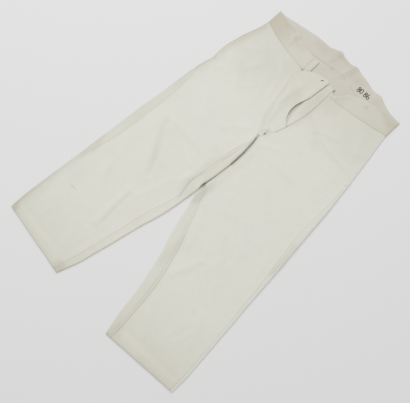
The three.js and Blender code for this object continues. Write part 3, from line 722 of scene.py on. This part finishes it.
# The panels' top edges run on a little beneath the band.
def underBand(outer, inner):
    away = inner[-1, :, :3] - outer[-1, :, :3]
    away = away / np.linalg.norm(away, axis=1)[:, None]
    rows = [[], []]
    for reach in (0.5, cloth["tuck"]):
        for k, deep in enumerate((0.3, 0.75)):
            row = outer[-1].copy()
            row[:, :3] += away * deep
            row[:, 1] += reach
            rows[k].append(row)
    return np.concatenate([outer, rows[0]]), np.concatenate([inner, rows[1]])


def loftPanel(ring, rows, side):
    outer = loft([toPlan(ring(r, 0), side) for r in rows], cloth["gridStep"])
    inner = loft([toPlan(ring(r, r["thick"]), side) for r in rows], cloth["gridStep"])
    return underBand(outer, inner)


# Stitch lines, as distances from their seam or edge in millimetres. The cloth sinks along them.
stitchAt = dict(inseam=(1.9, 7.9), outseam=1.8, mouth=6.5, hem=20, riseRight=2.2, riseLeft=(3, 9),
                bandSeam=6, bandTop=3, bandEnd=(3, 21), flapSewn=(2, 8), flapFree=4, standFree=5)

# In the next dictionaries a pucker is a size and a pace, a strip is where it runs, its half width
# and its height, an edge that wears is an amount and a reach, and other pairs say where a change
# begins and ends.
front = dict(legs=(165, 185), mouth=(258, 268), shin=(-240, -130), fly=(222, 262), aboveHem=(12, 30),
             lap=0.45, lapEnd=(1.2, 2.6), inseamPucker=(0.38, 13), outseamPucker=(0.3, 16),
             hemStitch=(stitchAt["hem"], 1.6, 0.35), hemTurn=(9, 8, 0.25), mouthStitch=(7, 1.4, 0.3),
             sunkSeam=(0, 1.3, 0.45), hemWave=0.3, hemWaveReach=30, wornHem=3, wornMouth=3,
             wornInseam=(0.5, 2.5), flyShade=(0, 2.4, 0.62), seamDirt=0.22, shinDirt=0.34, dirtWide=2.6)


def makeFront(name, side, rows, node):
    outer, inner = loftPanel(frontRing, rows, side)
    fromInseam, fromOutseam, fromHem, _ = measures(outer)
    y = outer[..., 1]
    legs, mouth = 1 - step01(*front["legs"], y), step01(*front["mouth"], y)
    relief = front["lap"] * (1 - step01(*front["lapEnd"], fromInseam)) * legs
    relief += pucker(fromHem, fromInseam, *front["inseamPucker"])
    relief += pucker(fromHem + 40, fromOutseam, *front["outseamPucker"])
    relief += strip(fromHem, *front["hemTurn"]) - strip(fromHem, *front["hemStitch"])
    relief -= mouth * strip(fromOutseam, *front["mouthStitch"])
    wave = np.sin(fromInseam / 15 + 2 * np.sin(fromInseam / 50))
    relief += front["hemWave"] * wave * fade(fromHem, front["hemWaveReach"])
    relief -= strip(fromInseam, *front["sunkSeam"]) + strip(fromOutseam, *front["sunkSeam"])
    amount, reach = front["wornInseam"]
    wear = fade(fromHem, front["wornHem"]) + mouth * fade(fromOutseam, front["wornMouth"])
    wear += amount * fade(fromInseam, reach)
    left = side > 0
    fly = strip(fromInseam, *front["flyShade"]) * step01(*front["fly"], y) * left
    shin = left * (1 - step01(*front["shin"], y))
    # A darker line runs along the inseam, strongest on the left shin: partly dirt, partly painted
    # shade.
    seamDarkening = (front["seamDirt"] + front["shinDirt"] * shin) * bell(fromInseam, front["dirtWide"])
    shade = fly + seamDarkening * legs * step01(*front["aboveHem"], fromHem)
    return clothPiece(name, node, (outer, inner), relief, wear, shade=shade)


back = dict(legs=(120, 160), hips=(200, 260), centre=(190, 260), shin=(-200, -110), aboveHem=(12, 30),
            inseamLap=(0.5, (1, 3), (8.4, 9.8)), centreLap=(0.5, (0.1, 0.8), (8, 9.5)),
            sunkSeam=(0, 3.0, 0.6), inseamPucker=(0.3, 12), outseamPucker=(0.25, 15), ripple=0.55,
            rippleAcross=(0, 20), rippleSides=(60, 40), wornHem=3, inseamLine=(9.5, 1.8, 0.36),
            handled=0.13)


def makeBack(name, side, rows, node):
    outer, inner = loftPanel(lambda row, depth: backRing(row, depth, side, rows), rows, side)
    across, fromEnd, fromHem, _ = measures(outer)
    x, y, layer = outer[..., 0], outer[..., 1], outer[..., 3]
    up, low = np.clip(layer * 1.5, 0, 1), np.clip(-layer, 0, 1)
    legs = 1 - step01(*back["legs"], y)
    fromInseam, fromOutseam = np.abs(across - cloth["tuck"]), fromEnd - cloth["tuck"]
    relief = lap(fromInseam, *back["inseamLap"]) * legs * up
    sunk = strip(fromInseam, *back["sunkSeam"]) * legs + strip(fromOutseam, *back["sunkSeam"])
    relief -= up * sunk
    relief += lap(across * step01(*back["centre"], y), *back["centreLap"]) * low
    relief += up * pucker(fromHem, across, *back["inseamPucker"])
    relief += up * pucker(fromHem + 20, fromEnd, *back["outseamPucker"])
    ripple = back["ripple"] * (1 + np.sin(y / 19 + np.sin(x / 31))) * step01(*back["hips"], y)
    ripple = ripple * step01(*back["rippleAcross"], across)
    relief += low * ripple * step01(*back["rippleSides"], np.abs(x - 20))
    wear = fade(fromHem, back["wornHem"])
    shin = (side > 0) * (1 - step01(*back["shin"], y)) * step01(*back["aboveHem"], fromHem)
    shade = shin * up * strip(fromInseam, *back["inseamLine"])
    return clothPiece(name, node, (outer, inner), relief, wear, shade=shade,
                      soiled=back["handled"])


band = dict(seamStitch=(stitchAt["bandSeam"], 1.6, 0.4), topStitch=(stitchAt["bandTop"], 1.6, 0.4),
            endStitch=(stitchAt["bandEnd"][1], 2.2, 0.6), seamPucker=(0.3, 12), topPucker=(0.4, 17),
            sunkSeam=(0, 2.6, 0.85), sunkEdge=(0, 1.0, 0.7), insideSeam=(0, 3, 0.65), wornTop=2.5,
            wornEnd=(0.6, 2.5), endShade=(stitchAt["bandEnd"][1], 2.5, 0.35), handled=0.16,
            side=(110, 230))
# Only the right end is sewn down with a second row of stitches.
bandSides = {-1: dict(ended=1, edgeShade=(0, 2.5, 0.12), handled=0.36),
             1: dict(ended=0, edgeShade=(0, 2.5, 0.3), handled=0.06)}


def makeBand(name, side, rows, node):
    ups, own = np.linspace(0, 1, 13), bandSides[side]
    outer, inner = (np.array([toPlan(bandRing(side, rows, u, depth), side) for u in ups])
                    for depth in (0, cloth["bandThick"]))
    across, _, fromSeam, fromTop = measures(outer)
    top, low = np.clip(outer[..., 3] * 2, 0, 1), np.clip(-outer[..., 3], 0, 1)
    relief = pucker(across, fromSeam, *band["seamPucker"])
    relief += pucker(across + 30, fromTop, *band["topPucker"])
    relief -= strip(fromSeam, *band["seamStitch"]) + strip(fromTop, *band["topStitch"])
    relief -= strip(fromSeam, *band["sunkSeam"]) + strip(fromTop, *band["sunkEdge"])
    relief -= own["ended"] * (strip(across, *band["endStitch"]) + strip(across, *band["sunkEdge"]))
    amount, reach = band["wornEnd"]
    wear = fade(fromTop, band["wornTop"]) + amount * fade(across, reach)
    shade = own["ended"] * strip(across, *band["endShade"]) + strip(across, *own["edgeShade"])
    soil = band["handled"] + own["handled"] * step01(*band["side"], np.abs(outer[..., 0]))
    return clothPiece(name, node, (outer, inner), relief * top, wear, shade=shade * top,
                      soiled=soil, sunkInside=-strip(fromSeam, *band["insideSeam"]) * low)


buttonhole = dict(x=0.5, y=440, long=15, wide=4.4, angle=47, rise=0.5, riseLong=13, riseWide=4.5)
flapLook = dict(gridStep=1.4, free=(70, 90), sunkSeam=(0, 2.2, 0.5),
                sewnStitches=[(at, 1.2, 0.35) for at in stitchAt["flapSewn"]],
                freeStitch=(stitchAt["flapFree"], 1.3, 0.35), sewnPucker=(0.45, 11),
                freePucker=(0.4, 14), wornEdge=2.5, handled=0.05)


def makeFlap(name, node):
    look, rows = flapLook, rightRows[-len(flapFree) + 1:]
    last, before = rows[-1], rows[-2]
    halfway = {k: False if k == "closed" else mix(before[k], last[k], 0.5) for k in last}
    rows = rows[:-1] + [halfway, last]
    outer, inner = (loft([flapRing(r, flapFree[k], r is last, depth) for k, r in enumerate(rows)],
                         look["gridStep"]) for depth in (0, cloth["thick"]))
    across, fromFree, along, fromTop = measures(outer)
    free = step01(*look["free"], along)
    fromSewn = across - cloth["tuck"]
    relief = pucker(along, across, *look["sewnPucker"])
    relief += pucker(along, fromFree, *look["freePucker"]) * free
    relief -= strip(fromSewn, *look["sunkSeam"])
    for stitches in look["sewnStitches"]:
        relief -= strip(fromSewn, *stitches)
    relief -= strip(fromFree, *look["freeStitch"]) * free + strip(fromTop, *look["freeStitch"])
    hole = buttonhole
    u, v = turned(outer[..., 0] - hole["x"], outer[..., 1] - hole["y"], -hole["angle"])
    relief += hole["rise"] * bell(np.hypot(u / hole["riseLong"], v / hole["riseWide"]), 1)
    cut = np.hypot(u / (hole["long"] / 2), v / (hole["wide"] / 2)) < 1
    corners = cut[:-1, :-1].astype(int) + cut[1:, :-1] + cut[:-1, 1:] + cut[1:, 1:]
    wear = fade(fromFree, look["wornEdge"]) * free + fade(fromTop, look["wornEdge"])
    return clothPiece(name, node, (outer, inner), relief, wear, skip=corners >= 3,
                      soiled=look["handled"])


standLook = dict(gridStep=2.2, high=3.5, freeDrop=0.3, sewnDrop=0.5, topDrop=0.6, edgePucker=(0.3, 13),
                 edgeStitch=(stitchAt["standFree"], 1.4, 0.3), sunkEdge=(0, 1, 0.5), wave=0.4,
                 sewnShade=(0, 3.2, 0.85), edgeShade=(0, 2.4, 0.5), handled=0.1)


def makeStand(name, node):
    look, rings = standLook, []
    f = np.linspace(0, 1, ringPoints["stand"])
    for deep in (0, cloth["thick"]):
        rows = []
        for k, (freeX, freeY, sewnX, sewnY) in enumerate(standRows):
            reach = f * (1 + cloth["tuck"] / (sewnX - freeX))
            z = look["high"] - look["topDrop"] * step01(9, 11, k)
            z = z - look["freeDrop"] * (1 - step01(0, 0.35, f)) - look["sewnDrop"] * step01(0.82, 1, f)
            x, y = mix(freeX, sewnX, reach), mix(freeY, sewnY, reach)
            rows.append(np.stack([x, y, z - deep, 0 * f], -1))
        rings.append(loft(rows, look["gridStep"]))
    outer, inner = rings
    across, fromEnd, along, _ = measures(outer)
    relief = pucker(along, across, *look["edgePucker"])
    relief -= strip(across, *look["edgeStitch"]) + strip(across, *look["sunkEdge"])
    relief += look["wave"] * np.sin(along / 17 + across / 23) * step01(0, 12, across)
    fromSewn = np.clip(fromEnd - cloth["tuck"], 0, None)
    shade = strip(fromSewn, *look["sewnShade"]) + strip(across, *look["edgeShade"])
    return clothPiece(name, node, (outer, inner), relief, 0 * across, shade=shade,
                      soiled=look["handled"])


backRight = makeBack("backPanelRight", -1, rightRows, "back_right")
backLeft = makeBack("backPanelLeft", 1, leftRows, "back_left")
frontRight = makeFront("frontPanelRight", -1, rightRows, "front_right")
frontLeft = makeFront("frontPanelLeft", 1, leftRows, "front_left")
bandRight = makeBand("waistbandRight", -1, rightRows, "waistband_right")
bandLeft = makeBand("waistbandLeft", 1, leftRows, "waistband_left")
flap = makeFlap("flyFlap", "fly_flap")
stand = makeStand("buttonStand", "button_stand")
print("panels made")

sewing = dict(pitch=3.4, length=2.5, radius=0.36, sides=5, start=0.3, lift=0.14, flat=0.75, sunk=0.06)
stitchShape = [(0.06, 0.55), (0.5, 1), (0.94, 0.55)]  # how far along a stitch, and how thick there
upwards = np.array([0, 0, 1.0])


def acrossLine(surface, distance, fromEnd=False):
    s = surface[:, ::-1] if fromEnd else surface
    run = lengths(s, 1)
    rows = [[np.interp(distance, at, row[:, c]) for c in range(3)] for at, row in zip(run, s)]
    return np.array(rows)


def alongLine(surface, distance, fromEnd=False):
    return acrossLine(surface.transpose(1, 0, 2), distance, fromEnd)


# The part of a line between two heights in the plan.
def seamLine(surface, distance, low, high, fromEnd=False):
    line = acrossLine(surface, distance, fromEnd)
    return line[(line[:, 1] >= low) & (line[:, 1] <= high)]


def newPiece(name, verts, faces, material):
    mesh = bpy.data.meshes.new(name)
    mesh.from_pydata([toScene(*v) for v in verts], [], faces)
    mesh.materials.append(material)
    mesh.polygons.foreach_set("use_smooth", np.ones(len(faces), bool))
    return addPiece(name, mesh)


# One stitch is a short spindle of thread whose tips dip into the cloth.
def addStitch(verts, faces, a, b, radius, sides):
    axis = (b - a) / max(np.linalg.norm(b - a), 1e-6)
    right = np.cross(axis, upwards)
    right /= max(np.linalg.norm(right), 1e-6)
    up = np.cross(right, axis)
    base = len(verts)
    for f, grow in stitchShape:
        for k in range(sides):
            angle = 2 * math.pi * k / sides
            aside = math.cos(angle) * right + sewing["flat"] * math.sin(angle) * up
            verts.append(a + (b - a) * f + radius * grow * aside)
    verts.extend([a - sewing["sunk"] * upwards, b - sewing["sunk"] * upwards])
    for ring in range(2):
        for k in range(sides):
            p, q = base + ring * sides + k, base + ring * sides + (k + 1) % sides
            faces.append((p, q, q + sides, p + sides))
    for k in range(sides):
        n = (k + 1) % sides
        faces.append((base + n, base + k, base + 3 * sides))
        faces.append((base + 2 * sides + k, base + 2 * sides + n, base + 3 * sides + 1))


def stitchPiece(name, lines):
    verts, faces = [], []
    for line in lines:
        if len(line) < 2:
            continue
        run = np.concatenate([[0], np.cumsum(np.linalg.norm(np.diff(line, axis=0), axis=1))])
        for k in range(int(run[-1] / sewing["pitch"])):
            start = k * sewing["pitch"] + sewing["start"]
            ends = [np.array([np.interp(at, run, line[:, c]) for c in range(3)])
                    for at in (start, start + sewing["length"])]
            a, b = (end + sewing["lift"] * upwards for end in ends)
            addStitch(verts, faces, a, b, sewing["radius"], sewing["sides"])
    piece = newPiece(name, verts, faces, thread)
    print(f"{name}: {len(faces)} faces")
    return piece


# Each line starts and ends at these heights. The lowest is below both hems.
low, inseam, mouth = -600, stitchAt["inseam"], stitchAt["mouth"]
tuck, topOfBand = cloth["tuck"], slice(ringPoints["bandTop"])
stitchesOf = {
    "backPanelRight": stitchPiece("stitchesInseamRight", [
        seamLine(backRight, inseam[0] + tuck, low, 160),
        seamLine(backRight, inseam[1] + tuck, low, 139)]),
    "backPanelLeft": stitchPiece("stitchesInseamLeft", [
        seamLine(backLeft, inseam[0] + tuck, low, -60),
        seamLine(backLeft, inseam[1] + tuck, low, -85)]),
    "frontPanelRight": stitchPiece("stitchesFrontRight", [
        seamLine(frontRight, stitchAt["outseam"], low, 250, True),
        seamLine(frontRight, mouth, 262, 452, True), alongLine(frontRight, stitchAt["hem"]),
        seamLine(frontRight, stitchAt["riseRight"], 186, 419)]),
    "frontPanelLeft": stitchPiece("stitchesFrontLeft", [
        seamLine(frontLeft, stitchAt["outseam"], low, 250, True),
        seamLine(frontLeft, mouth, 262, 442, True), alongLine(frontLeft, stitchAt["hem"]),
        *(seamLine(frontLeft, at, 178, 412) for at in stitchAt["riseLeft"])]),
    "waistbandRight": stitchPiece("stitchesWaistbandRight", [
        alongLine(bandRight, stitchAt["bandSeam"])[topOfBand],
        alongLine(bandRight, stitchAt["bandTop"], True)[topOfBand],
        *(acrossLine(bandRight, at) for at in stitchAt["bandEnd"])]),
    "waistbandLeft": stitchPiece("stitchesWaistbandLeft", [
        alongLine(bandLeft, stitchAt["bandSeam"])[topOfBand][1:],
        alongLine(bandLeft, stitchAt["bandTop"], True)[topOfBand][1:]]),
    "flyFlap": stitchPiece("stitchesFlap", [
        *(acrossLine(flap, at + tuck) for at in stitchAt["flapSewn"]),
        seamLine(flap, stitchAt["flapFree"], 268, 452, True),
        alongLine(flap, stitchAt["flapFree"], True)[6:]]),
    "buttonStand": stitchPiece("stitchesButtonStand", [
        seamLine(stand, stitchAt["standFree"], 266, 350)])}


surfaces = {}


# The cloth's height under a point of the plan, so that tacks and marks lie on it.
def heightOn(name, x, y):
    if name not in surfaces:
        mesh = pieces[name].data
        faces = [p.vertices for p in mesh.polygons]
        surfaces[name] = BVHTree.FromPolygons([v.co for v in mesh.vertices], faces)
    hit = surfaces[name].ray_cast(Vector(toScene(x, y, 100)), Vector((0, 0, -1)))
    return hit[0].z * 1000 if hit[0] else 1.5


holeThread = dict(stitches=54, inner=0.55, outer=2.0, innerLift=0.25, outerLift=0.05, radius=0.42,
                  sides=5)


def makeButtonholeEdge(name):
    verts, faces, t = [], [], holeThread
    for k in range(t["stitches"]):
        angle = 2 * math.pi * k / t["stitches"]
        ends = []
        for grow in (t["inner"], t["outer"]):
            u = (buttonhole["long"] / 2 + grow) * math.cos(angle)
            v = (buttonhole["wide"] / 2 + grow) * math.sin(angle)
            dx, dy = turned(u, v, buttonhole["angle"])
            ends.append(np.array([buttonhole["x"] + dx, buttonhole["y"] + dy, 0]))
        high = heightOn("flyFlap", ends[1][0], ends[1][1])
        ends[0][2], ends[1][2] = high + t["innerLift"], high + t["outerLift"]
        addStitch(verts, faces, ends[0], ends[1], t["radius"], t["sides"])
    return newPiece(name, verts, faces, thread)


tackShape = dict(lift=0.25, radius=0.5, sides=6)


# Threads lie side by side across the tack.
def makeTack(name, x, y, angle, long, count, pitch, on, material):
    verts, faces = [], []
    along, aside = np.array([*turned(1, 0, angle), 0]), np.array([*turned(0, 1, angle), 0])
    for k in range(count):
        middle = np.array([x, y, 0]) + along * (k - (count - 1) / 2) * pitch
        a, b = middle - aside * long / 2, middle + aside * long / 2
        for end in (a, b):
            end[2] = heightOn(on, x, y) + tackShape["lift"]
        addStitch(verts, faces, a, b, tackShape["radius"], tackShape["sides"])
    return newPiece(name, verts, faces, material)


# Each stroke of the mark is an oval ring or a part of one, in millimetres and degrees.
inkMark = dict(x=114, y=501, angle=3, stroke=3.5, thick=0.06, lift=0.3, degreesApart=12)
inkColumns = ("x", "y", "halfWide", "halfHigh", "start", "end")
inkStrokes = [
    (-18.5, 4.2, 3.1, 3.4, 0, 360), (-18.5, -4.0, 3.6, 4.0, 0, 360), (-8.5, 0.3, 3.7, 7.6, 0, 360),
    (6.5, 4.4, 3.1, 3.3, 0, 360), (6.5, -3.8, 3.6, 4.0, 0, 360), (17.5, -3.6, 3.7, 4.1, 0, 360),
    (19.5, 1.5, 6.0, 7.6, 105, 205)]


def makeInkMark(name):
    verts, faces = [], []
    for row in inkStrokes:
        stroke = dict(zip(inkColumns, row))
        sweep = stroke["end"] - stroke["start"]
        count = max(8, round(sweep / inkMark["degreesApart"]))
        first = len(verts)
        for k in range(count + 1):
            angle = math.radians(stroke["start"] + sweep * k / count)
            for grow in (-0.5, 0.5):
                u = stroke["x"] + (stroke["halfWide"] + grow * inkMark["stroke"]) * math.cos(angle)
                v = stroke["y"] + (stroke["halfHigh"] + grow * inkMark["stroke"]) * math.sin(angle)
                dx, dy = turned(u, v, inkMark["angle"])
                x, y = inkMark["x"] + dx, inkMark["y"] + dy
                low = heightOn("waistbandLeft", x, y) + inkMark["lift"]
                verts += [(x, y, low), (x, y, low + inkMark["thick"])]
        for k in range(count):
            a, b = first + 4 * k, first + 4 * k + 4
            for low, high in ((0, 2), (2, 3), (3, 1), (1, 0)):
                faces.append((a + low, a + high, b + high, b + low))
        for a in (first, first + 4 * count):
            faces.append((a, a + 1, a + 3, a + 2) if a == first else (a, a + 2, a + 3, a + 1))
    return newPiece(name, verts, faces, ink)


holeEdge = makeButtonholeEdge("buttonholeEdge")
# Place, angle, length of a thread, number of threads, and how far apart they are.
bandTack = makeTack("tackFly", -67, 423, 10, 6, 7, 0.95, "waistbandRight", tackThread)
# Its dark thread and a painted shade spot stand in for the shadow in the hole at the fly's foot.
crotchTackInShade = makeTack("tackCrotch", 0, 201, 60, 4.5, 6, 0.85, "flyFlap", tackThread)
mouthRight = makeTack("tackPocketRight", -279, 258, 8, 3.2, 9, 0.85, "frontPanelRight", thread)
mouthLeft = makeTack("tackPocketLeft", 276, 258, -8, 3.2, 9, 0.85, "frontPanelLeft", thread)
mark = makeInkMark("inkMark")
print("stitches and marks made")

studio = dict(floor=(0.83, 0.83, 0.82), world=1.045, key=200, keyAt=(-1.35, 0.78, 2.2), keySize=1.9)
floorMesh = bpy.data.meshes.new("floor")
floorMesh.from_pydata([(-8, -8, 0), (8, -8, 0), (8, 8, 0), (-8, 8, 0)], [], [(0, 1, 2, 3)])
floor = bpy.data.objects.new("floor", floorMesh)
floorMesh.materials.append(plainMaterial("paperFloor", studio["floor"], 0.9, 0.03, 30))
bpy.context.scene.collection.objects.link(floor)

world = bpy.data.worlds.new("studio")
bpy.context.scene.world = world
world.use_nodes = True
sky = world.node_tree.nodes["Background"]
sky.inputs["Color"].default_value = (1, 1, 1, 1)
sky.inputs["Strength"].default_value = studio["world"]


def addLight(name, at, energy, size):
    data = bpy.data.lights.new(name, "AREA")
    data.energy, data.size = energy, size
    lamp = bpy.data.objects.new(name, data)
    lamp.location = at
    lamp.rotation_euler = (-Vector(at)).to_track_quat("-Z", "Y").to_euler()
    bpy.context.scene.collection.objects.link(lamp)


addLight("softbox", studio["keyAt"], studio["key"], studio["keySize"])

# The camera stands almost above the cloth, tilted and rolled as in the photo. Its place is in plan
# millimetres, and the focal length is in pixels of the photo's width.
shot = dict(tilt=12, sway=2.5, focus=600, width=410, sensor=36, at=(344.14, -264.14, 1710),
            up=(0.72531, 0.68842))
up = shot["up"]
roll = Matrix(((up[1], -up[0], 0), (up[0], up[1], 0), (0, 0, 1)))
tilt = Matrix.Rotation(math.radians(shot["tilt"]), 3, "X")
sway = Matrix.Rotation(math.radians(shot["sway"]), 3, "Y")
lens = bpy.data.cameras.new("camera")
lens.sensor_width = shot["sensor"]
lens.lens = shot["focus"] / shot["width"] * shot["sensor"]
camera = bpy.data.objects.new("camera", lens)
camera.matrix_world = Matrix.Translation(Vector(toScene(*shot["at"]))) @ (roll @ tilt @ sway).to_4x4()
bpy.context.scene.collection.objects.link(camera)
bpy.context.scene.camera = camera

print("scene ready")
